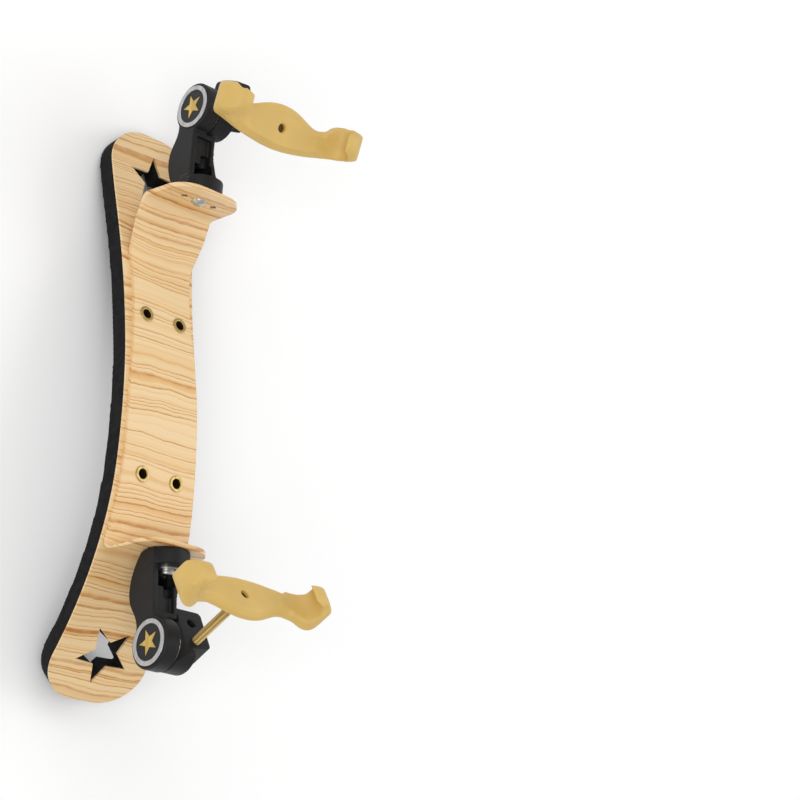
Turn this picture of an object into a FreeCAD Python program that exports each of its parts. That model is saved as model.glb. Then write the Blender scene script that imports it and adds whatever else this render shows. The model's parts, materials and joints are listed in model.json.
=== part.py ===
import FreeCAD, Part
import math
import os

# Violin shoulder rest.  The shapes are drawn in a working frame whose +X runs along
# the plate towards the far end, +Y across it towards the badge side and +Z up to the
# violin, with the origin on the plate's top face between the rivets.  At the end
# everything is tilted and moved so that it stands on its two foam ends at z = 0.

V = FreeCAD.Vector
X_AXIS = V(1, 0, 0)
Y_AXIS = V(0, 1, 0)
Z_AXIS = V(0, 0, 1)
ZERO = V(0, 0, 0)

# base plate and foam: side profile of the plate's top face
R_MID = 303.0
R_NEAR = 137.0
ARC_MID_FAR = 26.0
ARC_MID_NEAR = 30.0
ARC_NEAR = 105.0
LEN_FAR = 104.0
S_NEAR_END = -(ARC_MID_NEAR + ARC_NEAR)
S_FAR_END = ARC_MID_FAR + LEN_FAR
T_PLATE = 1.0
T_FOAM = 8.6
R_END_NEAR = 17.5
R_END_FAR = 19.0
# half width of the plate at stations along X
PLATE_OUTLINE = (
    (-130, 23.6), (-100, 23.3), (-55, 21.4), (0, 19.4),
    (42, 18.5), (75, 20.1), (103, 22.8), (135, 23.0),
)
# a length or height past the part that a cutting tool may safely reach
BEYOND = 20.0

# star cut-outs
STAR_NEAR = 112.8
STAR_FAR = 106.0
STAR_R = 13.6
STAR_R_IN = 5.9
STAR_POINTS = 5

# bracket strip
T_STRIP = 2.0
STRIP_OUTLINE = (
    (-75, 21.2), (-60, 20.6), (-36, 19.0), (0, 18.0),
    (36, 15.5), (60, 16.0), (78, 18.4), (90, 18.6),
)
S_ROOT_NEAR = 69.3
S_KINK = 64.0
INCLINE_DEG = 26.4
INCLINE_LEN = 25.1
FLANGE_H = 24.8
FLANGE_R = 11.0
FLANGE_HALF = 17.9
FLANGE_WAIST_H = 11.0
ROOT_HALF_NEAR = 20.6
ROOT_HALF_FAR = 18.4
LEAN_NEAR_DEG = 1.0
LEAN_FAR_DEG = 7.0
SCREW_H_NEAR = 14.35
SCREW_H_FAR = 13.7
BEND_IN = 2.0
X_CUT_NEAR = -60.0
X_CUT_FAR = 78.0
STRIP_HALF = 30.0

# eyelets that rivet the strip to the plate
EYE_X = 36.2
EYE_Y = 9.0
EYE_R_OUT = 2.6
EYE_R_IN = 2.1
EYE_FLANGE_R = 3.5
EYE_FLANGE_T = 0.5
FOAM_POCKET_R = 4.0
FOAM_POCKET_DEPTH = 1.0
EYE_LIP_R = 0.24
# room between the lower rim and the hollow underside
EYE_GAP = 0.06

# arm
BOSS_R = 9.8
BOSS_L = 7.0
PEG_Y = 8.0
PEG_SIDE = 2.2
PEG_HOLE_SIDE = 2.6
PEG_L = 1.7
# lower edge of the arm seen from the badge side, as (x, z) from the screw axis
ARM_BELLY = ((0, -5.0), (6, -9.3), (14, -12.2), (21, -11.6), (27, -8.4), (31, -7.4), (36, -8.4))
ARM_TOP = 3.2
ARM_RAMP_X = 2.5
ARM_RAMP_Z = 1.0
POCKET_END_X = 26.0
TAB_L = 5.5
TAB_IN = 3.4
TAB_PROUD = 0.6
TAB_LOW = -3.3
TAB_HIGH = 4.4
ARM_Y_POS = 9.2
ARM_Y_NEG = -6.3
ARM_WALL = 2.6
TROUGH_Y_NEG = -3.0
ARM_FLOOR = 2.4
PIVOT_OUT = 39.35
PIVOT_UP = 0.9
HEAD_R = 11.0
HEAD_Y_NEG = 2.0
# the knuckle turns past the arm inside these two clearances
SWEEP_R = 21.0
SWEEP_Y = -3.2
HUB_ROOM_R = 11.3
# past the screw the trough is shallow, and the outer wall draws in towards the knuckle
NECK_X = 14.5
NECK_DEPTH = 2.2
NECK_WALL_Y = -1.6
NECK_TAPER = ((9.0, -6.3), (18.4, -3.2))
HEAD_EDGE_R = 0.8

# fasteners
SCREW_R = 2.0
HOLE_R = 2.1
SCREW_HEAD_R = 3.7
SCREW_HEAD_H = 2.2
SCREW_HEAD_EDGE = 1.2
SCREW_REACH = 1.0
CROSS_HALF_L = 2.0
CROSS_HALF_W = 0.45
CROSS_DEPTH = 1.2
WASHER_R = 5.6
WASHER_T = 0.8
WASHER_EDGE = 0.25
WASHER_SEAT_GAP = 0.3
WASHER_SEAT_L = 1.6
SCREW_ROOM_L = 6.0
NUT_R = 3.3
NUT_T = 1.9
NUT_DOME_R = 3.65
NUT_DOME_X = 1.6
PIVOT_HEAD_R = 4.3
PIVOT_HEAD_H = 2.6
PIVOT_SHANK_END = -7.2
PIVOT_NUT_R = 4.0
PIVOT_NUT_Y = -3.9
PIVOT_NUT_T = 3.0
RUNNING_GAP = 0.05
HEAD_GAP = 0.3

# badge
RING_R = 9.7
RING_R_IN = 7.6
RING_EDGE = 0.3
BADGE_SEAT_Y = 8.4
RING_Y = 9.8
DISC_Y = 9.4
EMBLEM_T = 0.2
EMBLEM_R = 5.6
EMBLEM_R_IN = 2.3

# friction washer and knuckle
FRICTION_R = 9.9
FRICTION_T = 0.8
KNUCKLE_Y = 1.1
HUB_R = 10.6
HUB_Y_END = -7.7
BLOCK_Y = -3.5
# sloping face from the block's top down to the head, as (y, z)
HUB_SLOPE = ((-3.5, 7.1), (1.2, 2.5))
BLOCK_TOP = 7.1
BLOCK_BOTTOM = -4.0
# outline of the rod block seen along the rod, as (x, y) from the pivot, x outward
BLOCK_PLAN = ((5.0, -3.5), (2.6, -16.8), (-13.7, -16.8), (-18.4, -13.4), (-17.8, -5.6), (-15.8, -3.5))
BLOCK_CORNER_R = 1.8
BLOCK_EDGE = 0.7
BLOCK_BARREL_R = 19.5
BLOCK_BARREL_X = -2.0
BLOCK_BARREL_Z = -7.5
ROD_Y = -9.8
HOLE_PITCH = 8.6
ROD_BORE_R = 2.0

# rod and fork
ROD_R = 1.95
ROD_BOTTOM = -3.5
ROD_TIP_INSET = 1.6
ROD_EDGE = 0.4
LEAF_T = 4.5
LEAF_FLAT_Y = 24.0
LEAF_BEVEL = 2.4
LOBE_R = 7.2
LOBE_X = 3.0
LOBE_Y = 32.4
# half of the leaf's two long edges, from its middle to a lobe, as (x, y)
LEAF_INNER = ((-9.4, 0), (-8.5, 11), (-6.9, 20), (-5.5, 26), (-4.1, 32.5))
LEAF_OUTER = ((10.0, 0), (8.7, 8.4), (6.3, 14.5), (5.1, 19), (5.8, 24), (8.0, 28.5))
# claw seen from the end of the rest, as (y, z): its back, then its mouth
CLAW_BACK = (
    (24, -4.5), (31, -4.0), (34.8, -2.8), (37.6, 0.4), (38.8, 3.4),
    (37.8, 6.8), (35.4, 10), (32.2, 12.2), (28.8, 12.6), (26.4, 11),
)
CLAW_MOUTH = ((26.4, 11), (29.6, 10), (32.2, 7.4), (32, 3.2), (28.6, 0.7), (24, 0))
# the claw's round top seen along the leaf, with a smaller step towards its back
CLAW_AXIS_Z = 5.4
CLAW_STEP_R = 6.5
CLAW_STEP_Y = 34.0
RECESS_DEPTH = 0.35
RECESS_Y = 12.0
RECESS_TIP_Y = 19.0
RECESS_INNER_X = (-5.7, -6.7)
RECESS_OUTER_X = (4.6, 7.2)
SLOT_DEPTH = 1.3
SLOT_HALF_Y = 1.4
SLOT_HALF_Z = 2.3
SLOT_TILT_DEG = 26.0

# how each foot stands in the stored pose
KNUCKLE_NEAR_DEG = 23.4
KNUCKLE_FAR_DEG = 27.1
LEAF_NEAR = 39.5
LEAF_FAR = 41.4
TURN_NEAR_DEG = -3.0
TURN_FAR_DEG = 2.5

# tilt that brings both foam ends level
TILT_DEG = 9.1


def rot2(x, z, angle):
    return (x * math.cos(angle) - z * math.sin(angle), x * math.sin(angle) + z * math.cos(angle))


def profile(s, off):
    """Point on the plate profile at arc length s, off above the top face, and its slope."""
    if s > ARC_MID_FAR:
        t = ARC_MID_FAR / R_MID
        run = s - ARC_MID_FAR
        x = R_MID * math.sin(t) + run * math.cos(t)
        z = R_MID * (math.cos(t) - 1) - run * math.sin(t)
    elif s >= -ARC_MID_NEAR:
        t = s / R_MID
        x = R_MID * math.sin(t)
        z = R_MID * (math.cos(t) - 1)
    else:
        t0 = -ARC_MID_NEAR / R_MID
        t = t0 + (s + ARC_MID_NEAR) / R_NEAR
        cx = (R_MID - R_NEAR) * math.sin(t0)
        cz = (R_MID - R_NEAR) * math.cos(t0) - R_MID
        x = cx + R_NEAR * math.sin(t)
        z = cz + R_NEAR * math.cos(t)
    return V(x + off * math.sin(t), 0, z + off * math.cos(t)), t


def profile_edges(s0, s1, off):
    """Edges of the profile from s0 to s1 (s0 < s1) at height off above the top face."""
    breaks = [s0]
    for s in (-ARC_MID_NEAR, ARC_MID_FAR):
        if s0 < s < s1:
            breaks.append(s)
    breaks.append(s1)
    edges = []
    for a, b in zip(breaks[:-1], breaks[1:]):
        pa = profile(a, off)[0]
        pb = profile(b, off)[0]
        if a >= ARC_MID_FAR:
            edges.append(Part.makeLine(pa, pb))
        else:
            edges.append(Part.Arc(pa, profile((a + b) / 2, off)[0], pb).toShape())
    return edges


def closed_face(edges):
    return Part.Face(Part.Wire(Part.__sortEdges__(edges)))


def along_y(face, y0, y1):
    solid = face.extrude(V(0, y1 - y0, 0))
    solid.translate(V(0, y0, 0))
    return solid


def polygon_face(points):
    return Part.Face(Part.makePolygon(points + [points[0]]))


def spline(points):
    curve = Part.BSplineCurve()
    curve.interpolate(points)
    return curve.toShape()


def plan_prism(outline):
    """Vertical prism whose half width follows the outline stations."""
    pos = [V(x, w, -4 * BEYOND) for x, w in outline]
    neg = [V(x, -w, -4 * BEYOND) for x, w in outline]
    edges = [spline(pos), Part.makeLine(pos[-1], neg[-1]), spline(neg), Part.makeLine(neg[0], pos[0])]
    return closed_face(edges).extrude(V(0, 0, 8 * BEYOND))


def single(shape):
    """The one solid of a result, with split faces merged where the kernel can."""
    try:
        merged = shape.removeSplitter()
        if merged.isValid():
            shape = merged
    except Part.OCCError:
        pass
    if len(shape.Solids) == 1:
        return shape.Solids[0]
    return shape


def edges_where(shape, test):
    return [e for e in shape.Edges if test(e)]


def edges_at(shape, point, shortest, near=0.05):
    """Edges along Y whose middle lies over a point of the side view."""
    return [
        e for e in shape.Edges
        if e.Length > shortest
        and abs(e.CenterOfMass.x - point.x) < near
        and abs(e.CenterOfMass.z - point.z) < near
    ]


def slab(s0, s1, off0, off1):
    """Full-width layer that follows the plate's side profile between two heights."""
    low = profile_edges(s0, s1, off0)
    high = profile_edges(s0, s1, off1)
    ends = [Part.makeLine(profile(s, off0)[0], profile(s, off1)[0]) for s in (s0, s1)]
    return along_y(closed_face(low + high + ends), -2 * BEYOND, 2 * BEYOND)


def paddle_body():
    """Plate and foam as one block with rounded paddle ends."""
    body = single(slab(S_NEAR_END, S_FAR_END, -T_PLATE - T_FOAM, 0).common(plan_prism(PLATE_OUTLINE)))
    for s, radius in ((S_NEAR_END, R_END_NEAR), (S_FAR_END, R_END_FAR)):
        mid = profile(s, (-T_PLATE - T_FOAM) / 2)[0]
        uprights = edges_at(body, mid, 0.9 * T_FOAM, near=2)
        corners = [e for e in uprights if e.Length < 2 * T_FOAM and abs(e.CenterOfMass.y) > R_END_NEAR]
        body = body.makeFillet(radius, corners)
    return body


def at_profile(shape, s):
    """Stand a shape drawn about the origin (x outward, z up) on the plate's top face at s."""
    p, t = profile(s, 0)
    shape = shape.copy()
    shape.Placement = FreeCAD.Placement(p, FreeCAD.Rotation(Y_AXIS, math.degrees(t)))
    return shape


def star_face(radius, inner, first_deg, z):
    pts = []
    for i in range(2 * STAR_POINTS):
        r = radius if i % 2 == 0 else inner
        a = math.radians(first_deg) + i * math.pi / STAR_POINTS
        pts.append(V(r * math.cos(a), r * math.sin(a), z))
    return polygon_face(pts)


def star_cutter(s, first_deg):
    prism = star_face(STAR_R, STAR_R_IN, first_deg, -BEYOND).extrude(V(0, 0, 2 * BEYOND))
    return at_profile(prism, s)


def cyl_y(r, y0, y1, x=0.0, z=0.0):
    return Part.makeCylinder(r, y1 - y0, V(x, y0, z), Y_AXIS)


def cyl_x(r, x0, x1, y=0.0, z=0.0):
    return Part.makeCylinder(r, x1 - x0, V(x0, y, z), X_AXIS)


def cyl_z(r, z0, z1, x=0.0, y=0.0):
    return Part.makeCylinder(r, z1 - z0, V(x, y, z0), Z_AXIS)


def box(x0, x1, y0, y1, z0, z1):
    return Part.makeBox(x1 - x0, y1 - y0, z1 - z0, V(x0, y0, z0))


def hexagon_y(r, y0, y1):
    pts = [V(r * math.cos(i * math.pi / 3), y0, r * math.sin(i * math.pi / 3)) for i in range(6)]
    return polygon_face(pts).extrude(V(0, y1 - y0, 0))


def placed(shape, side, origin, angle_deg):
    """Move a shape drawn with x outward, z up to one end of the rest."""
    shape = shape.copy()
    sign = -1
    if side == "near":
        shape = shape.mirror(ZERO, X_AXIS)
        sign = 1
    shape.rotate(ZERO, Y_AXIS, sign * angle_deg)
    shape.translate(origin)
    return shape


def local_point(side, origin, angle_deg, x, y, z):
    a = math.radians(angle_deg)
    out, up = rot2(x, z, a)
    if side == "near":
        out = -out
    return V(origin.x + out, origin.y + y, origin.z + up)


def safe_fillet(shape, radius, edges):
    """Round the edges one by one that the kernel can round."""
    try:
        done = shape.makeFillet(radius, edges)
        if done.isValid() and len(done.Solids) == 1:
            return done
    except Part.OCCError:
        pass
    return shape


# ---------------------------------------------------------------- base plate and foam
paddle = paddle_body()
above_foam = slab(S_NEAR_END - BEYOND, S_FAR_END + BEYOND, -T_PLATE, BEYOND)
plate = single(paddle.common(above_foam))
foam = single(paddle.cut(above_foam))
for s, first in ((-STAR_NEAR, 180), (STAR_FAR, 0)):
    cutter = star_cutter(s, first)
    plate = plate.cut(cutter)
    foam = foam.cut(cutter)

eyelet_sites = [(sx * EYE_X, sy * EYE_Y) for sx in (-1, 1) for sy in (-1, 1)]
eyelet_holes = [at_profile(cyl_z(EYE_R_OUT, -BEYOND, BEYOND, 0, y), s) for s, y in eyelet_sites]
eyelets = []
for (s, y), hole in zip(eyelet_sites, eyelet_holes):
    plate = plate.cut(hole)
    pocket = at_profile(cyl_z(FOAM_POCKET_R, -T_PLATE - FOAM_POCKET_DEPTH, 0, 0, y), s)
    foam = foam.cut(pocket)
    top = T_STRIP + EYE_FLANGE_T
    tube = cyl_z(EYE_R_OUT, -T_PLATE - EYE_FLANGE_T, top, 0, y)
    rim_top = cyl_z(EYE_FLANGE_R, T_STRIP, top, 0, y)
    rim_low = cyl_z(EYE_FLANGE_R, -T_PLATE - EYE_FLANGE_T, -T_PLATE - EYE_GAP, 0, y)
    eye = tube.fuse(rim_top).fuse(rim_low).removeSplitter()
    eye = eye.cut(cyl_z(EYE_R_IN, -BEYOND, BEYOND, 0, y))
    mouth = edges_where(eye, lambda e: e.BoundBox.ZMin > top - 0.01)
    eye = safe_fillet(eye, EYE_LIP_R, mouth)
    eyelets.append(at_profile(eye, s))

# ---------------------------------------------------------------- bracket strip
near_root, near_t = profile(-S_ROOT_NEAR, T_STRIP)
lean_n = math.radians(LEAN_NEAR_DEG)
lean_f = math.radians(LEAN_FAR_DEG)
n_out = V(-math.cos(lean_n), 0, math.sin(lean_n))
n_up = V(math.sin(lean_n), 0, math.cos(lean_n))
f_out = V(math.cos(lean_f), 0, math.sin(lean_f))
f_up = V(-math.sin(lean_f), 0, math.cos(lean_f))
kink_top, kink_t = profile(S_KINK, T_STRIP)
inc = math.radians(INCLINE_DEG)
inc_dir = V(math.cos(inc), 0, math.sin(inc))
far_root = kink_top + inc_dir * INCLINE_LEN

kink_setback = T_STRIP * math.tan((inc + kink_t) / 2)
kink_low = profile(S_KINK + kink_setback, 0)[0]
corner_gap = inc_dir.getAngle(f_up) / 2
inc_normal = V(math.sin(inc), 0, -math.cos(inc))
far_low = far_root + inc_normal * T_STRIP + inc_dir * (T_STRIP * math.tan(corner_gap))
near_setback = T_STRIP * math.tan((math.pi / 2 + lean_n - abs(near_t)) / 2)
near_low_s = -S_ROOT_NEAR - near_setback
near_low = profile(near_low_s, 0)[0]

n_tip_in = near_root + n_up * FLANGE_H
n_tip_out = n_tip_in + n_out * T_STRIP
f_tip_in = far_root + f_up * FLANGE_H
f_tip_out = f_tip_in + f_out * T_STRIP
strip_edges = profile_edges(near_low_s, S_KINK + kink_setback, 0)
strip_edges += profile_edges(-S_ROOT_NEAR, S_KINK, T_STRIP)
near_flange_path = (near_low, n_tip_out, n_tip_in, near_root)
far_flange_path = (kink_top, far_root, f_tip_in, f_tip_out, far_low, kink_low)
for path in (near_flange_path, far_flange_path):
    for a, b in zip(path[:-1], path[1:]):
        strip_edges.append(Part.makeLine(a, b))
strip = along_y(closed_face(strip_edges), -STRIP_HALF, STRIP_HALF)
bends = (
    (near_root, BEND_IN), (near_low, BEND_IN + T_STRIP),
    (far_root, BEND_IN), (far_low, BEND_IN + T_STRIP),
    (kink_top, 3 * BEND_IN), (kink_low, 3 * BEND_IN + T_STRIP),
)
for point, radius in bends:
    strip = strip.makeFillet(radius, edges_at(strip, point, STRIP_HALF))


def flange_prism(x0, x1, z_root, root_half):
    """D-shaped outline of an upright flange, swept along X."""
    z_top = z_root + FLANGE_H + 0.02
    right = (
        (root_half, z_root - 2 * BEYOND), (root_half, z_root),
        (FLANGE_HALF, z_root + FLANGE_WAIST_H), (FLANGE_HALF, z_top),
    )
    pts = [V(x0, y, z) for y, z in right]
    pts += [V(x0, -y, z) for y, z in reversed(right)]
    prism = polygon_face(pts).extrude(V(x1 - x0, 0, 0))
    corners = edges_where(
        prism, lambda e: abs(e.CenterOfMass.z - z_top) < 0.01 and abs(e.Length - (x1 - x0)) < 0.01)
    return prism.makeFillet(FLANGE_R, corners)


def strip_part(x0, x1, outline):
    """The stretch of the bent strip between two stations, trimmed to its outline."""
    piece = strip.common(box(x0, x1, -2 * BEYOND, 2 * BEYOND, -4 * BEYOND, 4 * BEYOND))
    return piece.common(outline)


x_near_tip = X_CUT_NEAR - 2 * BEYOND
x_far_tip = X_CUT_FAR + 2 * BEYOND
near_flange = flange_prism(x_near_tip, X_CUT_NEAR, near_root.z, ROOT_HALF_NEAR)
far_flange = flange_prism(X_CUT_FAR, x_far_tip, far_root.z, ROOT_HALF_FAR)
near_part = strip_part(x_near_tip, X_CUT_NEAR, near_flange)
middle = strip_part(X_CUT_NEAR, X_CUT_FAR, plan_prism(STRIP_OUTLINE))
far_part = strip_part(X_CUT_FAR, x_far_tip, far_flange)
bracket = single(near_part.fuse(middle).fuse(far_part))
for hole in eyelet_holes:
    bracket = bracket.cut(hole)

# screw axis of each flange, on its outer face
near_origin = near_root + n_up * SCREW_H_NEAR + n_out * T_STRIP
far_origin = far_root + f_up * SCREW_H_FAR + f_out * T_STRIP
SIDES = (("near", near_origin, LEAN_NEAR_DEG), ("far", far_origin, LEAN_FAR_DEG))


def diamond_x(side_len, x0, x1, y):
    d = side_len / math.sqrt(2)
    pts = [V(x0, y + d, 0), V(x0, y, d), V(x0, y - d, 0), V(x0, y, -d)]
    return polygon_face(pts).extrude(V(x1 - x0, 0, 0))


for side, origin, lean in SIDES:
    tool = cyl_x(HOLE_R, -2 * T_STRIP, T_STRIP)
    for y in (-PEG_Y, PEG_Y):
        tool = tool.fuse(diamond_x(PEG_HOLE_SIDE, -2 * T_STRIP, T_STRIP, y))
    bracket = bracket.cut(placed(tool, side, origin, lean))

# ---------------------------------------------------------------- arm, with x outward from the flange


def belly(z_shift):
    """Lower edge of the arm, raised by z_shift."""
    return [V(x, 0, z + z_shift) for x, z in ARM_BELLY]


def arm_walls():
    """Arm's outer shape in side view, and the trough moulded into it from above."""
    low = belly(0)
    end_x = low[-1].x
    top = [V(end_x, 0, ARM_TOP), V(ARM_RAMP_X, 0, ARM_TOP), V(0, 0, ARM_RAMP_Z)]
    outer = [low[-1]] + top + [low[0]]
    edges = [spline(low)]
    edges += [Part.makeLine(a, b) for a, b in zip(outer[:-1], outer[1:])]
    body = along_y(closed_face(edges), ARM_Y_NEG, ARM_Y_POS)
    floor = belly(ARM_FLOOR)
    rim = [floor[-1], V(end_x, 0, BEYOND), V(0, 0, BEYOND), floor[0]]
    edges = [spline(floor)]
    edges += [Part.makeLine(a, b) for a, b in zip(rim[:-1], rim[1:])]
    wall_y = ARM_Y_POS - ARM_WALL
    trough = along_y(closed_face(edges), TROUGH_Y_NEG, wall_y)
    trough = trough.common(box(BOSS_L, NECK_X, -BEYOND, BEYOND, -BEYOND, BEYOND))
    neck = box(NECK_X - 1, POCKET_END_X, NECK_WALL_Y, wall_y, ARM_TOP - NECK_DEPTH, BEYOND)
    wedge = [V(x, y, -BEYOND) for x, y in NECK_TAPER]
    wedge += [V(NECK_TAPER[1][0], -BEYOND, -BEYOND), V(NECK_TAPER[0][0], -BEYOND, -BEYOND)]
    return body.cut(trough).cut(neck).cut(polygon_face(wedge).extrude(V(0, 0, 2 * BEYOND)))


def pivot_y(r, y0, y1):
    """Cylinder about the pivot's axis in the arm's frame."""
    return cyl_y(r, y0, y1, PIVOT_OUT, PIVOT_UP)


PIVOT_HEAD_Y = BADGE_SEAT_Y - HEAD_GAP
arm = arm_walls()
arm = arm.fuse(cyl_x(BOSS_R, 0, BOSS_L))
arm = arm.fuse(box(0, TAB_L, ARM_Y_POS - TAB_IN, ARM_Y_POS + TAB_PROUD, TAB_LOW, TAB_HIGH))
arm = arm.cut(pivot_y(SWEEP_R, -BEYOND, SWEEP_Y)).cut(pivot_y(HUB_ROOM_R, -BEYOND, HEAD_Y_NEG))
head = pivot_y(HEAD_R, HEAD_Y_NEG, ARM_Y_POS)
head = safe_fillet(head, HEAD_EDGE_R, edges_where(head, lambda e: e.BoundBox.YMin > ARM_Y_POS - 0.01))
arm = arm.fuse(head)
for y in (-PEG_Y, PEG_Y):
    arm = arm.fuse(diamond_x(PEG_SIDE, -PEG_L, 0.5, y))
washer_seat = cyl_x(WASHER_R + WASHER_SEAT_GAP, BOSS_L, BOSS_L + WASHER_SEAT_L)
screw_room = cyl_x(SCREW_HEAD_R + WASHER_SEAT_GAP, BOSS_L, BOSS_L + SCREW_ROOM_L)
arm = arm.cut(cyl_x(HOLE_R, -BEYOND, BOSS_L + 12)).cut(washer_seat).cut(screw_room)
arm = arm.cut(pivot_y(RING_R + RUNNING_GAP, BADGE_SEAT_Y, BEYOND))
arm = arm.cut(pivot_y(PIVOT_HEAD_R + HEAD_GAP, PIVOT_HEAD_Y - PIVOT_HEAD_H, BEYOND))
arm = arm.cut(pivot_y(HOLE_R, -BEYOND, BEYOND)).Solids[0]

# ---------------------------------------------------------------- fasteners, in the arm's frame
flange_washer = cyl_x(WASHER_R, BOSS_L, BOSS_L + WASHER_T).cut(cyl_x(HOLE_R, 0, BEYOND))
outer_rims = edges_where(flange_washer, lambda e: e.BoundBox.XMin > BOSS_L + WASHER_T - 0.01)
flange_washer = safe_fillet(flange_washer, WASHER_EDGE, outer_rims)

head_x = BOSS_L + WASHER_T
flange_screw = cyl_x(SCREW_HEAD_R, head_x, head_x + SCREW_HEAD_H)
crown = edges_where(flange_screw, lambda e: e.BoundBox.XMin > head_x + SCREW_HEAD_H - 0.01)
flange_screw = safe_fillet(flange_screw, SCREW_HEAD_EDGE, crown)
slot_x = head_x + SCREW_HEAD_H - CROSS_DEPTH
for turn in (0, 90):
    slot = box(slot_x, slot_x + 3, -CROSS_HALF_W, CROSS_HALF_W, -CROSS_HALF_L, CROSS_HALF_L)
    slot.rotate(ZERO, X_AXIS, turn)
    flange_screw = flange_screw.cut(slot)
flange_screw = single(flange_screw.fuse(cyl_x(SCREW_R, -T_STRIP - SCREW_REACH, head_x + 0.5)))

nut_dome = Part.makeSphere(NUT_DOME_R, V(-T_STRIP + NUT_DOME_X, 0, 0))
flange_nut = cyl_x(NUT_R, -T_STRIP - NUT_T, -T_STRIP).common(nut_dome)
flange_nut = flange_nut.cut(cyl_x(SCREW_R, -T_STRIP - SCREW_REACH, 0))

pivot_screw = pivot_y(PIVOT_HEAD_R, PIVOT_HEAD_Y - PIVOT_HEAD_H, PIVOT_HEAD_Y)
for turn in (0, 90):
    slot = box(-CROSS_HALF_L, CROSS_HALF_L, 0, 3, -CROSS_HALF_W, CROSS_HALF_W)
    slot.rotate(ZERO, Y_AXIS, turn)
    slot.translate(V(PIVOT_OUT, PIVOT_HEAD_Y - CROSS_DEPTH, PIVOT_UP))
    pivot_screw = pivot_screw.cut(slot)
shank = pivot_y(SCREW_R, PIVOT_SHANK_END, PIVOT_HEAD_Y - 0.6 * PIVOT_HEAD_H)
pivot_screw = single(pivot_screw.fuse(shank))
friction_washer = pivot_y(FRICTION_R, HEAD_Y_NEG - FRICTION_T, HEAD_Y_NEG).cut(pivot_y(HOLE_R, -BEYOND, BEYOND))

# ---------------------------------------------------------------- badge, in the arm's frame
ring = pivot_y(RING_R, BADGE_SEAT_Y, RING_Y).cut(pivot_y(RING_R_IN, 0, BEYOND))
ring = safe_fillet(ring, RING_EDGE, edges_where(ring, lambda e: e.BoundBox.YMin > RING_Y - 0.01))
disc = pivot_y(RING_R_IN, BADGE_SEAT_Y, DISC_Y)
emblem = star_face(EMBLEM_R, EMBLEM_R_IN, 90, 0).extrude(V(0, 0, EMBLEM_T))
emblem.rotate(ZERO, X_AXIS, -90)
emblem.translate(V(PIVOT_OUT, DISC_Y, PIVOT_UP))

# ---------------------------------------------------------------- knuckle, about its pivot with z along the rod
block_h = BLOCK_TOP - BLOCK_BOTTOM
block = polygon_face([V(x, y, BLOCK_BOTTOM) for x, y in BLOCK_PLAN]).extrude(V(0, 0, block_h))
uprights = edges_where(block, lambda e: abs(e.Length - block_h) < 0.01 and e.CenterOfMass.y < BLOCK_Y - 1)
block = safe_fillet(block, BLOCK_CORNER_R, uprights)
block = block.common(cyl_y(BLOCK_BARREL_R, -2 * BEYOND, BEYOND, BLOCK_BARREL_X, BLOCK_BARREL_Z))
hub = cyl_y(HUB_R, HUB_Y_END, KNUCKLE_Y)
slope = HUB_SLOPE + ((HUB_SLOPE[1][0], BEYOND), (HUB_Y_END, BEYOND), (HUB_Y_END, BLOCK_TOP))
hub = hub.cut(polygon_face([V(-BEYOND, y, z) for y, z in slope]).extrude(V(2 * BEYOND, 0, 0)))
knuckle = single(hub.fuse(block))
top_rim = edges_where(knuckle, lambda e: e.BoundBox.ZMin > BLOCK_TOP - 0.01)
knuckle = safe_fillet(knuckle, BLOCK_EDGE, top_rim)
for x in (0.0, -HOLE_PITCH):
    knuckle = knuckle.cut(cyl_z(ROD_BORE_R, -BEYOND, BEYOND, x, ROD_Y))
knuckle = knuckle.cut(cyl_y(HOLE_R, PIVOT_SHANK_END - 0.2, BEYOND))
nut_y0 = PIVOT_NUT_Y - PIVOT_NUT_T
nut_room = hexagon_y(PIVOT_NUT_R + RUNNING_GAP, nut_y0 - RUNNING_GAP, PIVOT_NUT_Y + RUNNING_GAP)
knuckle = single(knuckle.cut(nut_room))
pivot_nut = hexagon_y(PIVOT_NUT_R, nut_y0, PIVOT_NUT_Y).cut(cyl_y(SCREW_R + RUNNING_GAP, -BEYOND, BEYOND))

# the far knuckle is the same moulding turned over
knuckles = {"near": knuckle, "far": knuckle.copy()}
knuckles["far"].rotate(ZERO, Y_AXIS, 180)

# ---------------------------------------------------------------- fork, with its leaf's top face at z = 0


def both_ways(half):
    """Points of a long edge from one lobe to the other, from its half."""
    there = [V(x, y, 0) for x, y in reversed(half)]
    back = [V(x, -y, 0) for x, y in half[1:]]
    return there + back


def leaf_outline():
    """The leaf seen from above, with a notched outer edge."""
    inner = both_ways(LEAF_INNER)
    outer = both_ways(LEAF_OUTER)
    rim = [spline(inner), spline(outer)]
    rim += [Part.makeLine(inner[i], outer[i]) for i in (0, -1)]
    return closed_face(rim)


def bevelled_leaf():
    """The leaf with its two long upper edges bevelled."""
    leaf = leaf_outline().extrude(V(0, 0, LEAF_T))
    leaf.translate(V(0, 0, -LEAF_T))
    long_edges = edges_where(leaf, lambda e: abs(e.CenterOfMass.z) < 0.01 and e.Length > 2 * LEAF_FLAT_Y)
    return leaf.makeChamfer(LEAF_BEVEL, long_edges)


def fork_plan():
    """Prism of the leaf's outline with a round lobe at each end."""
    plan = leaf_outline().extrude(V(0, 0, 2 * BEYOND))
    for sign in (-1, 1):
        plan = plan.fuse(cyl_z(LOBE_R, 0, 2 * BEYOND, LOBE_X, sign * LOBE_Y))
    plan = plan.removeSplitter()
    plan.translate(V(0, 0, -BEYOND))
    return plan


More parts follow.
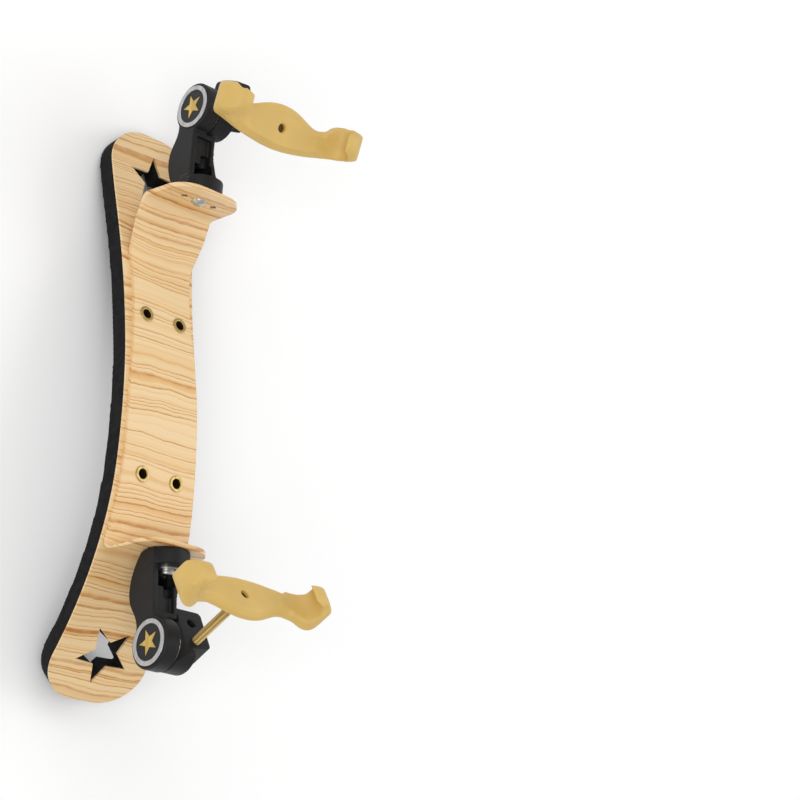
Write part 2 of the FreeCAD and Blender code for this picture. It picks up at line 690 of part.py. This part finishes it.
def fork_side():
    """Side view: flat leaf and a claw that hooks up and back over at each end."""
    back = [V(-BEYOND, y, z) for y, z in CLAW_BACK]
    mouth = [V(-BEYOND, y, z) for y, z in CLAW_MOUTH]
    claw = closed_face([spline(back), spline(mouth), Part.makeLine(mouth[-1], back[0])])
    claw = claw.extrude(V(2 * BEYOND, 0, 0))
    leaf = box(-BEYOND, BEYOND, -LEAF_FLAT_Y, LEAF_FLAT_Y, -LEAF_T, 0)
    return leaf.fuse(claw).fuse(claw.mirror(ZERO, Y_AXIS)).removeSplitter()


def leaf_recess():
    """Shallow panel sunk into the leaf's top face."""
    edges = []
    for end_x, mid_x in (RECESS_INNER_X, RECESS_OUTER_X):
        edges.append(Part.Arc(V(end_x, RECESS_Y, 0), V(mid_x, 0, 0), V(end_x, -RECESS_Y, 0)).toShape())
    for sign in (-1, 1):
        start = V(RECESS_INNER_X[0], sign * RECESS_Y, 0)
        end = V(RECESS_OUTER_X[0], sign * RECESS_Y, 0)
        edges.append(Part.Arc(start, V(0, sign * RECESS_TIP_Y, 0), end).toShape())
    panel = closed_face(edges).extrude(V(0, 0, LEAF_T))
    panel.translate(V(0, 0, -RECESS_DEPTH))
    return panel


def claw_round():
    """What stays of both claws: all below their middle height, and a round top above it."""
    keep = box(-BEYOND, BEYOND, -3 * BEYOND, 3 * BEYOND, -BEYOND, CLAW_AXIS_Z - CLAW_STEP_R / 2)
    keep = keep.fuse(cyl_y(LOBE_R, -CLAW_STEP_Y, CLAW_STEP_Y, LOBE_X, CLAW_AXIS_Z))
    return keep.fuse(cyl_y(CLAW_STEP_R, -3 * BEYOND, 3 * BEYOND, LOBE_X, CLAW_AXIS_Z))


def claw_slot(y):
    """Blind slot in the claw's outward side, where it turns over to the top."""
    slot = box(LOBE_R - SLOT_DEPTH, LOBE_R + 5, y - SLOT_HALF_Y, y + SLOT_HALF_Y, -SLOT_HALF_Z, SLOT_HALF_Z)
    slot.rotate(ZERO, Y_AXIS, -SLOT_TILT_DEG)
    slot.translate(V(LOBE_X, 0, CLAW_AXIS_Z))
    return slot


flat_stretch = box(-BEYOND, BEYOND, -LEAF_FLAT_Y, LEAF_FLAT_Y, -BEYOND, BEYOND)
claws = fork_side().common(fork_plan()).common(claw_round()).cut(flat_stretch)
fork = single(bevelled_leaf().common(flat_stretch).fuse(claws))
fork = fork.cut(leaf_recess())
fork = fork.cut(cyl_z(ROD_BORE_R, -BEYOND, BEYOND))
for y in (-LOBE_Y, LOBE_Y):
    fork = fork.cut(claw_slot(y))
fork = single(fork)

# ---------------------------------------------------------------- assemble both ends
nodes = {"base_plate": [plate], "foam_pad": [foam], "bracket": [bracket], "eyelets": eyelets}
paired = {
    "flange_screws": flange_screw, "flange_washers": flange_washer, "flange_nuts": flange_nut,
    "pivot_screws": pivot_screw, "friction_washers": friction_washer,
    "badge_rings": ring, "badge_discs": disc, "badge_emblems": emblem,
}
for name in paired:
    nodes[name] = []
stances = {
    "near": (KNUCKLE_NEAR_DEG, LEAF_NEAR, TURN_NEAR_DEG),
    "far": (KNUCKLE_FAR_DEG, LEAF_FAR, TURN_FAR_DEG),
}
points = {}
for side, origin, lean in SIDES:
    swing, leaf_h, turn = stances[side]
    nodes[side + "_arm"] = [placed(arm, side, origin, lean)]
    for name, shape in paired.items():
        nodes[name].append(placed(shape, side, origin, lean))
    pivot = local_point(side, origin, lean, PIVOT_OUT, 0, PIVOT_UP)
    rod = cyl_z(ROD_R, ROD_BOTTOM, leaf_h - ROD_TIP_INSET, 0, ROD_Y)
    rod = safe_fillet(rod, ROD_EDGE, rod.Edges)
    foot = fork.copy()
    foot.rotate(ZERO, Z_AXIS, turn)
    foot.translate(V(0, ROD_Y, leaf_h))
    for name, shape in (("_knuckle", knuckles[side]), ("_pivot_nut", pivot_nut), ("_rod", rod), ("_fork", foot)):
        nodes[side + name] = [placed(shape, side, pivot, swing)]
    points[side + "_pivot"] = pivot
    points[side + "_rod_foot"] = local_point(side, pivot, swing, 0, ROD_Y, 0)
    points[side + "_leaf"] = local_point(side, pivot, swing, 0, ROD_Y, leaf_h)

# ---------------------------------------------------------------- stand it on its foam ends and write it out
everything = Part.makeCompound([solid for group in nodes.values() for solid in group])
everything.rotate(ZERO, Y_AXIS, TILT_DEG)
bounds = everything.optimalBoundingBox(False, False)
shift = V(-(bounds.XMin + bounds.XMax) / 2, -(bounds.YMin + bounds.YMax) / 2, -bounds.ZMin)
stand = FreeCAD.Placement(shift, FreeCAD.Rotation(Y_AXIS, TILT_DEG))

os.makedirs("parts", exist_ok=True)
for name, group in nodes.items():
    shape = Part.makeCompound(group) if len(group) > 1 else group[0].copy()
    shape.rotate(ZERO, Y_AXIS, TILT_DEG)
    shape.translate(shift)
    shape.exportStep("parts/" + name + ".step")
    print(name, len(shape.Solids), "solids, valid", shape.isValid(), "volume", round(shape.Volume, 1))
for name, p in points.items():
    q = stand.multVec(p)
    print(name, round(q.x, 4), round(q.y, 4), round(q.z, 4))
print("shift", round(shift.x, 4), round(shift.y, 4), round(shift.z, 4))
print("size", round(bounds.XLength, 2), round(bounds.YLength, 2), round(bounds.ZLength, 2))
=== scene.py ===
import json
import math
import bmesh
import bpy
from mathutils import Matrix, Vector

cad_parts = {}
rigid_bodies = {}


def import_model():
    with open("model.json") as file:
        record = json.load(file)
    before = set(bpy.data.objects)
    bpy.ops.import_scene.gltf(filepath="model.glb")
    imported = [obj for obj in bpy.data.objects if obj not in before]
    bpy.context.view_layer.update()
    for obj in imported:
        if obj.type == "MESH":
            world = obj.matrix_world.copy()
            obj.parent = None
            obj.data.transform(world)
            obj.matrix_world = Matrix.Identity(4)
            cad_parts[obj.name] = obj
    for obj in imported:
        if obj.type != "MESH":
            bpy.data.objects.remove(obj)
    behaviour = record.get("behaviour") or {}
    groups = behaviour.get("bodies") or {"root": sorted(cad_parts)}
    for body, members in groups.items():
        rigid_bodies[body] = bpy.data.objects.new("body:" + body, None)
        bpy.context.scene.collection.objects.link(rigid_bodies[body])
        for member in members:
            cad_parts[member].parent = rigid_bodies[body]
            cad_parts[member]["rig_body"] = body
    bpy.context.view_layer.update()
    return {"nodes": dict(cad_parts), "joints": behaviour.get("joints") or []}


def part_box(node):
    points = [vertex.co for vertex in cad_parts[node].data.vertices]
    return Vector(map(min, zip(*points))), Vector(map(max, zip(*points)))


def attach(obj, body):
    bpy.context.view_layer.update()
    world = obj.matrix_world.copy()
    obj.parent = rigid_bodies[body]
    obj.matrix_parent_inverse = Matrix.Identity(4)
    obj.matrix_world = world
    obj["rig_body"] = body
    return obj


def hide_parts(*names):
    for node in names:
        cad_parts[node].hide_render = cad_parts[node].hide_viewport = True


# Looks of the violin shoulder rest.  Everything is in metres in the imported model's frame:
# +X along the plate to the far end, +Y towards the badges, +Z up to the violin.

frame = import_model()
nodes = frame["nodes"]
joints = {j["name"]: j for j in frame["joints"]}
MM = 0.001
SIDES = ("near", "far")

# camera
CAMERA_PLACE = Vector((-0.2466, 0.5275, 0.7216))
CAMERA_RIGHT = Vector((0.1172, -0.7618, 0.6371))
CAMERA_UP = Vector((0.9565, 0.2591, 0.1339))
CAMERA_TURN_DEG = 5.72
CAMERA_LENS = 94.0
CAMERA_SENSOR = 36.0

# colours, linear
CREAM = (0.86, 0.67, 0.40, 1)
CREAM_DEEP = (0.80, 0.55, 0.27, 1)
GRAIN = (0.45, 0.17, 0.02, 1)
GRAIN_PALE = (0.74, 0.41, 0.12, 1)
BLACK_PLASTIC = (0.012, 0.012, 0.013, 1)
FOAM_BLACK = (0.009, 0.009, 0.010, 1)
FOAM_WORN = (0.018, 0.018, 0.019, 1)
GOLD = (0.63, 0.42, 0.12, 1)
BRASS = (0.62, 0.45, 0.17, 1)
# painted highlight for the thread crests and painted shade for the thread grooves
BRASS_CREST_HIGHLIGHT = (0.80, 0.62, 0.27, 1)
BRASS_GROOVE_SHADE = (0.10, 0.06, 0.02, 1)
STEEL = (0.62, 0.62, 0.61, 1)
SILVER = (0.58, 0.58, 0.58, 1)
EMBLEM_GOLD = (0.75, 0.52, 0.16, 1)
OPAQUE = (1,)

# wood print, in millimetres and lines per millimetre
GRAIN_WANDER = 20.0
GRAIN_WAVER = 2.2
GRAIN_LEAN_Y = 0.05
GRAIN_LEAN_Z = 0.45
RING_SCALE = 0.11
STRONG_DENSITY = 0.24
STRONG_UNEVEN = 6.0
STRONG_WEAKEST = 0.55
STRONG_PROFILE = ((0.0, 0.0), (0.02, 1.0), (0.12, 1.0), (0.17, 0.30), (0.3, 0.0), (1.0, 0.0))
BAND_WEAKEST = 0.42
BAND_PROFILE = ((0.0, 0.0), (0.03, 1.0), (0.30, 0.6), (0.6, 0.1), (1.0, 0.0))
BAND_SHARE = 0.75
PALE_DENSITY = 0.62
PALE_UNEVEN = 9.0
PALE_WEAKEST = 0.2
PALE_PROFILE = ((0.0, 0.0), (0.10, 1.0), (0.35, 0.35), (1.0, 0.0))
PALE_SHARE = 0.8

# fine texture
BUMP_REACH = 0.1 * MM
PORE_SCALE = 1.9
PORE_REACH = 0.3 * MM
METAL_STREAKS = (40, 900, 900)


# ---------------------------------------------------------------- node helpers

class Shader:
    """A material's node tree with short calls for the nodes used here."""

    def __init__(self, name):
        self.material = bpy.data.materials.new(name)
        self.material.use_nodes = True
        self.tree = self.material.node_tree
        self.bsdf = self.tree.nodes["Principled BSDF"]

    def add(self, kind, **values):
        node = self.tree.nodes.new(kind)
        for key, value in values.items():
            setattr(node, key, value)
        return node

    def link(self, source, target):
        self.tree.links.new(source, target)

    def set(self, **values):
        for key, value in values.items():
            self.bsdf.inputs[key.replace("_", " ")].default_value = value

    def place(self, scale=(1000, 1000, 1000), offset=(0, 0, 0)):
        """Object coordinates times scale, which 1000 turns into millimetres, plus an offset."""
        coord = self.add("ShaderNodeTexCoord")
        mapping = self.add("ShaderNodeMapping")
        mapping.inputs["Scale"].default_value = scale
        mapping.inputs["Location"].default_value = offset
        self.link(coord.outputs["Object"], mapping.inputs["Vector"])
        return mapping.outputs["Vector"]

    def noise(self, vector, scale, detail):
        node = self.add("ShaderNodeTexNoise")
        node.inputs["Scale"].default_value = scale
        node.inputs["Detail"].default_value = detail
        self.link(vector, node.inputs["Vector"])
        return node.outputs["Fac"]

    def math(self, operation, a, b=None, c=None):
        node = self.add("ShaderNodeMath", operation=operation)
        for i, value in enumerate((a, b, c)):
            if value is None:
                continue
            if isinstance(value, (int, float)):
                node.inputs[i].default_value = value
            else:
                self.link(value, node.inputs[i])
        return node.outputs[0]

    def ramp(self, factor, stops):
        """Colours or grey values at rising positions, blended in between."""
        node = self.add("ShaderNodeValToRGB")
        elements = node.color_ramp.elements
        while len(elements) < len(stops):
            elements.new(0.5)
        for element, (position, colour) in zip(elements, stops):
            element.position = position
            element.color = colour if isinstance(colour, tuple) else (colour,) * 3 + OPAQUE
        self.link(factor, node.inputs["Fac"])
        return node.outputs["Color"]

    def mix(self, factor, a, b):
        node = self.add("ShaderNodeMix", data_type="RGBA")
        for socket, value in ((node.inputs[0], factor), (node.inputs[6], a), (node.inputs[7], b)):
            if isinstance(value, (int, float, tuple)):
                socket.default_value = value
            else:
                self.link(value, socket)
        return node.outputs[2]

    def bump(self, height, strength, distance):
        node = self.add("ShaderNodeBump")
        node.inputs["Strength"].default_value = strength
        node.inputs["Distance"].default_value = distance
        self.link(height, node.inputs["Height"])
        self.link(node.outputs["Normal"], self.bsdf.inputs["Normal"])

    def colour(self, socket):
        self.link(socket, self.bsdf.inputs["Base Color"])

    def roughness(self, socket):
        self.link(socket, self.bsdf.inputs["Roughness"])


# ---------------------------------------------------------------- materials

def grain_lines(s, along, density, uneven, weakest, stops):
    """Lines at uneven distances along a coordinate, each with its own strength."""
    noise = s.add("ShaderNodeTexNoise", noise_dimensions="1D")
    noise.inputs["Scale"].default_value = RING_SCALE
    noise.inputs["Detail"].default_value = 1.0
    s.link(along, noise.inputs["W"])
    rings = s.math("MULTIPLY_ADD", noise.outputs["Fac"], uneven, s.math("MULTIPLY", along, density))
    cell = s.add("ShaderNodeTexWhiteNoise", noise_dimensions="1D")
    s.link(s.math("FLOOR", rings), cell.inputs["W"])
    strength = s.math("MULTIPLY_ADD", cell.outputs["Value"], 1.0 - weakest, weakest)
    return s.math("MULTIPLY", s.ramp(s.math("FRACT", rings), stops), strength)


def wood_print(name, offset):
    """Printed softwood grain: orange-brown lines across the width on cream, with pale ones between."""
    s = Shader(name)
    axes = s.add("ShaderNodeSeparateXYZ")
    s.link(s.place(offset=offset), axes.inputs["Vector"])
    x, y, z = axes.outputs
    along = s.math("MULTIPLY_ADD", z, GRAIN_LEAN_Z, x)
    slow = s.noise(s.place(scale=(18, 13, 14), offset=offset), 1.0, detail=1.0)
    quick = s.noise(s.place(scale=(130, 90, 100), offset=offset), 1.0, detail=3.0)
    along = s.math("MULTIPLY_ADD", s.math("SUBTRACT", slow, 0.5), GRAIN_WANDER, along)
    along = s.math("MULTIPLY_ADD", s.math("SUBTRACT", quick, 0.5), GRAIN_WAVER, along)
    along = s.math("MULTIPLY_ADD", y, GRAIN_LEAN_Y, along)
    strong = grain_lines(s, along, STRONG_DENSITY, STRONG_UNEVEN, STRONG_WEAKEST, STRONG_PROFILE)
    pale = grain_lines(s, along, PALE_DENSITY, PALE_UNEVEN, PALE_WEAKEST, PALE_PROFILE)
    fibre = s.noise(s.place(scale=(2400, 190, 2400), offset=offset), 1.0, detail=2.0)
    broken = s.noise(s.place(scale=(420, 200, 420), offset=offset), 1.0, detail=3.0)
    strong = s.math("MULTIPLY", strong, s.ramp(broken, ((0.3, 0.55), (0.6, 1.0))))
    base = s.mix(s.ramp(slow, ((0.3, 0.0), (0.7, 0.45))), CREAM, CREAM_DEEP)
    base = s.mix(s.ramp(fibre, ((0.45, 0.0), (0.8, 0.22))), base, CREAM_DEEP)
    base = s.mix(s.math("MULTIPLY", pale, PALE_SHARE), base, GRAIN_PALE)
    band = grain_lines(s, along, STRONG_DENSITY, STRONG_UNEVEN, BAND_WEAKEST, BAND_PROFILE)
    base = s.mix(s.math("MULTIPLY", band, BAND_SHARE), base, GRAIN_PALE)
    s.colour(s.mix(strong, base, GRAIN))
    s.roughness(s.ramp(fibre, ((0.0, 0.36), (1.0, 0.50))))
    s.bump(fibre, 0.04, BUMP_REACH)
    s.set(Coat_Weight=0.15, Coat_Roughness=0.3)
    return s.material


def moulded_plastic(name, colour, rough_low, rough_high, grain=0.10, gloss=0.22):
    """Injection-moulded plastic with a faint even texture and slight tone changes."""
    s = Shader(name)
    place = s.place()
    broad = s.noise(place, 0.08, detail=2.0)
    fine = s.noise(place, 6.0, detail=2.0)
    lighter = tuple(min(1.0, c * 1.07 + 0.001) for c in colour[:3]) + OPAQUE
    s.colour(s.mix(s.ramp(broad, ((0.35, 0.0), (0.65, 1.0))), colour, lighter))
    s.roughness(s.ramp(broad, ((0.3, rough_low), (0.7, rough_high))))
    s.bump(fine, grain, BUMP_REACH)
    s.set(Specular_IOR_Level=gloss)
    return s.material


def foam_black():
    """Closed-cell foam: dull black skin with small pores."""
    s = Shader("foam_black")
    place = s.place()
    pores = s.add("ShaderNodeTexVoronoi")
    pores.inputs["Scale"].default_value = PORE_SCALE
    s.link(place, pores.inputs["Vector"])
    cloud = s.noise(place, 0.35, detail=4.0)
    s.colour(s.mix(s.ramp(cloud, ((0.35, 0.0), (0.7, 1.0))), FOAM_BLACK, FOAM_WORN))
    s.roughness(s.ramp(cloud, ((0.2, 0.82), (0.8, 0.95))))
    s.bump(pores.outputs["Distance"], 0.35, PORE_REACH)
    s.set(Specular_IOR_Level=0.12)
    return s.material


def metal(name, colour, rough):
    """Satin metal with faint streaks along X."""
    s = Shader(name)
    streaks = s.noise(s.place(scale=METAL_STREAKS), 1.0, detail=3.0)
    darker = tuple(c * 0.72 for c in colour[:3]) + OPAQUE
    s.colour(s.mix(s.ramp(streaks, ((0.3, 0.0), (0.75, 1.0))), darker, colour))
    s.roughness(s.ramp(streaks, ((0.3, rough + 0.10), (0.7, rough))))
    s.set(Metallic=1.0)
    s.bump(streaks, 0.08, BUMP_REACH)
    return s.material


MATERIALS = {
    "wood_plate": wood_print("wood_plate", (31.0, 7.0, 0.0)),
    "wood_strip": wood_print("wood_strip", (-12.0, 40.0, 9.0)),
    "black_plastic": moulded_plastic("black_plastic", BLACK_PLASTIC, 0.42, 0.54),
    "gold_plastic": moulded_plastic("gold_plastic", GOLD, 0.40, 0.50, grain=0.06, gloss=0.4),
    "disc_black": moulded_plastic("disc_black", BLACK_PLASTIC, 0.28, 0.34, grain=0.03),
    "emblem_gold": metal("emblem_gold", EMBLEM_GOLD, 0.34),
    "foam": foam_black(),
    "brass": metal("brass", BRASS, 0.26),
    "steel": metal("steel", STEEL, 0.26),
    "silver": metal("silver", SILVER, 0.34),
}


def paint(piece, material):
    piece.data.materials.clear()
    piece.data.materials.append(MATERIALS[material])


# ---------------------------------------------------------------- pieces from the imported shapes

FOAM_VOXEL = 0.6 * MM
EYELET_VOXEL = 0.12 * MM
MOULDING_VOXEL = 0.35 * MM
SMOOTH_FACTOR = 0.5
FORK_CLAW_ROUNDS = 45

# the forks' claws are swelled before smoothing and drawn in after it, which closes ragged thin edges;
# the extra smoothing grows from none at CLAW_START from the middle to all of it at CLAW_FULL
CLAW_START = 21 * MM
CLAW_FULL = 28 * MM
SWELL = 0.35 * MM
SHRINK_BACK = 0.27 * MM


def add_remesh(piece, voxel):
    remesh = piece.modifiers.new("remesh", "REMESH")
    remesh.mode = "VOXEL"
    remesh.voxel_size = voxel


def add_offset(piece, distance):
    """Moves the surface out, or in where the distance is negative."""
    offset = piece.modifiers.new("offset", "DISPLACE")
    offset.mid_level = 0.0
    offset.strength = distance


def add_smooth(piece, name, rounds):
    smooth = piece.modifiers.new(name, "SMOOTH")
    smooth.factor = SMOOTH_FACTOR
    smooth.iterations = rounds
    return smooth


def apply_modifiers(piece):
    graph = bpy.context.evaluated_depsgraph_get()
    mesh = bpy.data.meshes.new_from_object(piece.evaluated_get(graph))
    piece.modifiers.clear()
    piece.data = mesh


def smooth_claws(piece, rounds):
    """Smooths the two ends of a fork further than its middle."""
    vertices = piece.data.vertices
    middle = sum(v.co.y for v in vertices) / len(vertices)
    ends = piece.vertex_groups.new(name="ends")
    for v in vertices:
        share = (abs(v.co.y - middle) - CLAW_START) / (CLAW_FULL - CLAW_START)
        ends.add([v.index], max(0.0, min(1.0, share)), "REPLACE")
    add_smooth(piece, "ends", rounds).vertex_group = "ends"
    apply_modifiers(piece)
    piece.vertex_groups.clear()


def soften(node_name, name, voxel, rounds, material, claw_rounds=0):
    """A piece with the node's shape whose edges are rounded as a moulding's are, its claws more so."""
    node = nodes[node_name]
    piece = bpy.data.objects.new(name, node.data.copy())
    bpy.context.scene.collection.objects.link(piece)
    add_remesh(piece, voxel)
    if claw_rounds:
        add_offset(piece, SWELL)
        add_remesh(piece, voxel)
    add_smooth(piece, "smooth", rounds)
    if claw_rounds:
        add_offset(piece, -SHRINK_BACK)
    apply_modifiers(piece)
    if claw_rounds:
        smooth_claws(piece, claw_rounds)
    for face in piece.data.polygons:
        face.use_smooth = True
    paint(piece, material)
    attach(piece, node["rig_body"])
    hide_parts(node_name)
    return piece


foam = soften("foam_pad", "foam_cushion", FOAM_VOXEL, 3, "foam")
soften("eyelets", "eyelets_rolled", EYELET_VOXEL, 6, "brass")
for side in SIDES:
    soften(side + "_fork", side + "_fork_cast", MOULDING_VOXEL, 14, "gold_plastic",
           claw_rounds=FORK_CLAW_ROUNDS)
    soften(side + "_arm", side + "_arm_moulded", MOULDING_VOXEL, 3, "black_plastic")
    soften(side + "_knuckle", side + "_knuckle_moulded", MOULDING_VOXEL, 4, "black_plastic")

for node_name, material in (
        ("base_plate", "wood_plate"), ("bracket", "wood_strip"),
        ("flange_screws", "steel"), ("flange_washers", "steel"), ("flange_nuts", "steel"),
        ("pivot_screws", "steel"), ("friction_washers", "steel"),
        ("badge_rings", "silver"), ("badge_discs", "disc_black"), ("badge_emblems", "emblem_gold"),
        ("near_pivot_nut", "brass"), ("far_pivot_nut", "brass")):
    paint(nodes[node_name], material)


# ---------------------------------------------------------------- threaded rods

THREAD_PITCH = 0.7 * MM
THREAD_DEPTH = 0.42 * MM
THREAD_COLUMNS = 36
ROWS_PER_PITCH = 8
ROD_END_TAPER = 0.5 * MM
CREST_SLOPE = 1.25


def thread_brass_painted_shade(name, centre, axis, radius):
    """Brass with a painted highlight on the thread's crests and painted shade in its grooves, by
    distance from the axis.
    """
    s = Shader(name)
    coord = s.add("ShaderNodeTexCoord")
    arm = s.add("ShaderNodeVectorMath", operation="SUBTRACT")
    s.link(coord.outputs["Object"], arm.inputs[0])
    arm.inputs[1].default_value = centre
    cross = s.add("ShaderNodeVectorMath", operation="CROSS_PRODUCT")
    s.link(arm.outputs["Vector"], cross.inputs[0])
    cross.inputs[1].default_value = axis
    reach = s.add("ShaderNodeVectorMath", operation="LENGTH")
    s.link(cross.outputs["Vector"], reach.inputs[0])
    depth = s.math("DIVIDE", s.math("SUBTRACT", radius, reach.outputs["Value"]), THREAD_DEPTH)
    # painted highlight on the crests and painted shade in the grooves, set by depth below the crest
    s.colour(s.ramp(depth, ((0.0, BRASS_CREST_HIGHLIGHT), (0.35, BRASS), (0.9, BRASS_GROOVE_SHADE))))
    s.roughness(s.ramp(depth, ((0.0, 0.24), (1.0, 0.5))))
    s.set(Metallic=1.0)
    return s.material


def threaded_rod(side):
    """Rod with a real helical thread, on the rod node's own axis and length."""
    low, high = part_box(side + "_rod")
    axis = Vector(joints[side + "_rod_travel"]["axis"]).normalized()
    radius = (high.y - low.y) / 2
    lean = math.acos(axis.z)
    length = (high.z - low.z - 2 * radius * math.sin(lean)) / math.cos(lean)
    centre = (low + high) / 2
    rows = int(length / THREAD_PITCH * ROWS_PER_PITCH)
    mesh = bmesh.new()
    rings = []
    for i in range(rows + 1):
        z = -length / 2 + length * i / rows
        ends = min(1.0, (length / 2 - abs(z)) / ROD_END_TAPER)
        ring = []
        for k in range(THREAD_COLUMNS):
            turn = 2 * math.pi * k / THREAD_COLUMNS
            phase = (z / THREAD_PITCH - k / THREAD_COLUMNS) % 1.0
            crest = 1 - abs(2 * phase - 1)
            r = radius - THREAD_DEPTH * (1 - min(1.0, crest * CREST_SLOPE))
            r = min(r, radius - THREAD_DEPTH * (1 - ends))
            ring.append(mesh.verts.new((r * math.cos(turn), r * math.sin(turn), z)))
        rings.append(ring)
    for below, above in zip(rings[:-1], rings[1:]):
        for k in range(THREAD_COLUMNS):
            n = (k + 1) % THREAD_COLUMNS
            mesh.faces.new((below[k], below[n], above[n], above[k]))
    mesh.faces.new(list(reversed(rings[0])))
    mesh.faces.new(rings[-1])
    for face in mesh.faces:
        face.smooth = len(face.verts) == 4
    data = bpy.data.meshes.new(side + "_rod_thread")
    mesh.to_mesh(data)
    mesh.free()
    piece = bpy.data.objects.new(side + "_rod_thread", data)
    bpy.context.scene.collection.objects.link(piece)
    turn = Vector((0, 0, 1)).rotation_difference(axis).to_matrix().to_4x4()
    data.transform(Matrix.Translation(centre) @ turn)
    # the rod's material carries painted highlight and painted shade along its thread
    piece.data.materials.append(thread_brass_painted_shade("brass_thread_painted_shade_" + side, centre, axis, radius))
    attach(piece, side + "_rod")
    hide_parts(side + "_rod")


for side in SIDES:
    threaded_rod(side)


# ---------------------------------------------------------------- floor, light and camera

FLOOR_SIZE = 6.0
FLOOR_HEIGHT = -0.2 * MM
SKY_STRENGTH = 0.60
LAMPS = (
    # name, place, size, watts
    ("key", (-0.5, 0.9, 1.2), 0.9, 8.0),
    ("fill", (0.9, 0.5, 0.9), 1.0, 3.0),
    ("rim", (0.2, -0.9, 0.8), 0.8, 3.0),
)
WHITE = (1, 1, 1, 1)


def studio():
    """Plain pale floor and soft light from above."""
    bpy.ops.mesh.primitive_plane_add(size=FLOOR_SIZE, location=(0, 0, FLOOR_HEIGHT))
    floor = bpy.context.object
    floor.name = "floor"
    s = Shader("floor_pale")
    s.set(Base_Color=WHITE, Roughness=0.9)
    floor.data.materials.append(s.material)
    world = bpy.data.worlds.new("studio")
    bpy.context.scene.world = world
    world.use_nodes = True
    sky = world.node_tree.nodes["Background"]
    sky.inputs["Color"].default_value = WHITE
    sky.inputs["Strength"].default_value = SKY_STRENGTH
    for name, place, size, power in LAMPS:
        data = bpy.data.lights.new(name, "AREA")
        data.energy = power
        data.size = size
        lamp = bpy.data.objects.new(name, data)
        lamp.location = place
        lamp.rotation_mode = "QUATERNION"
        lamp.rotation_quaternion = Vector(place).to_track_quat("Z", "Y")
        bpy.context.scene.collection.objects.link(lamp)


def camera():
    """The camera at the photographer's place, turned about its own up axis."""
    data = bpy.data.cameras.new("camera")
    data.sensor_width = CAMERA_SENSOR
    data.lens = CAMERA_LENS
    data.clip_start = 0.01
    data.clip_end = 20
    cam = bpy.data.objects.new("camera", data)
    bpy.context.scene.collection.objects.link(cam)
    back = CAMERA_RIGHT.cross(CAMERA_UP).normalized()
    up = back.cross(CAMERA_RIGHT).normalized()
    turn = math.radians(CAMERA_TURN_DEG)
    right = CAMERA_RIGHT.normalized()
    new_back = back * math.cos(turn) - right * math.sin(turn)
    new_right = right * math.cos(turn) + back * math.sin(turn)
    rotation = Matrix((new_right, up, new_back)).transposed().to_4x4()
    cam.matrix_world = Matrix.Translation(CAMERA_PLACE) @ rotation
    bpy.context.scene.camera = cam


studio()
camera()
bpy.context.scene.view_settings.view_transform = "Standard"
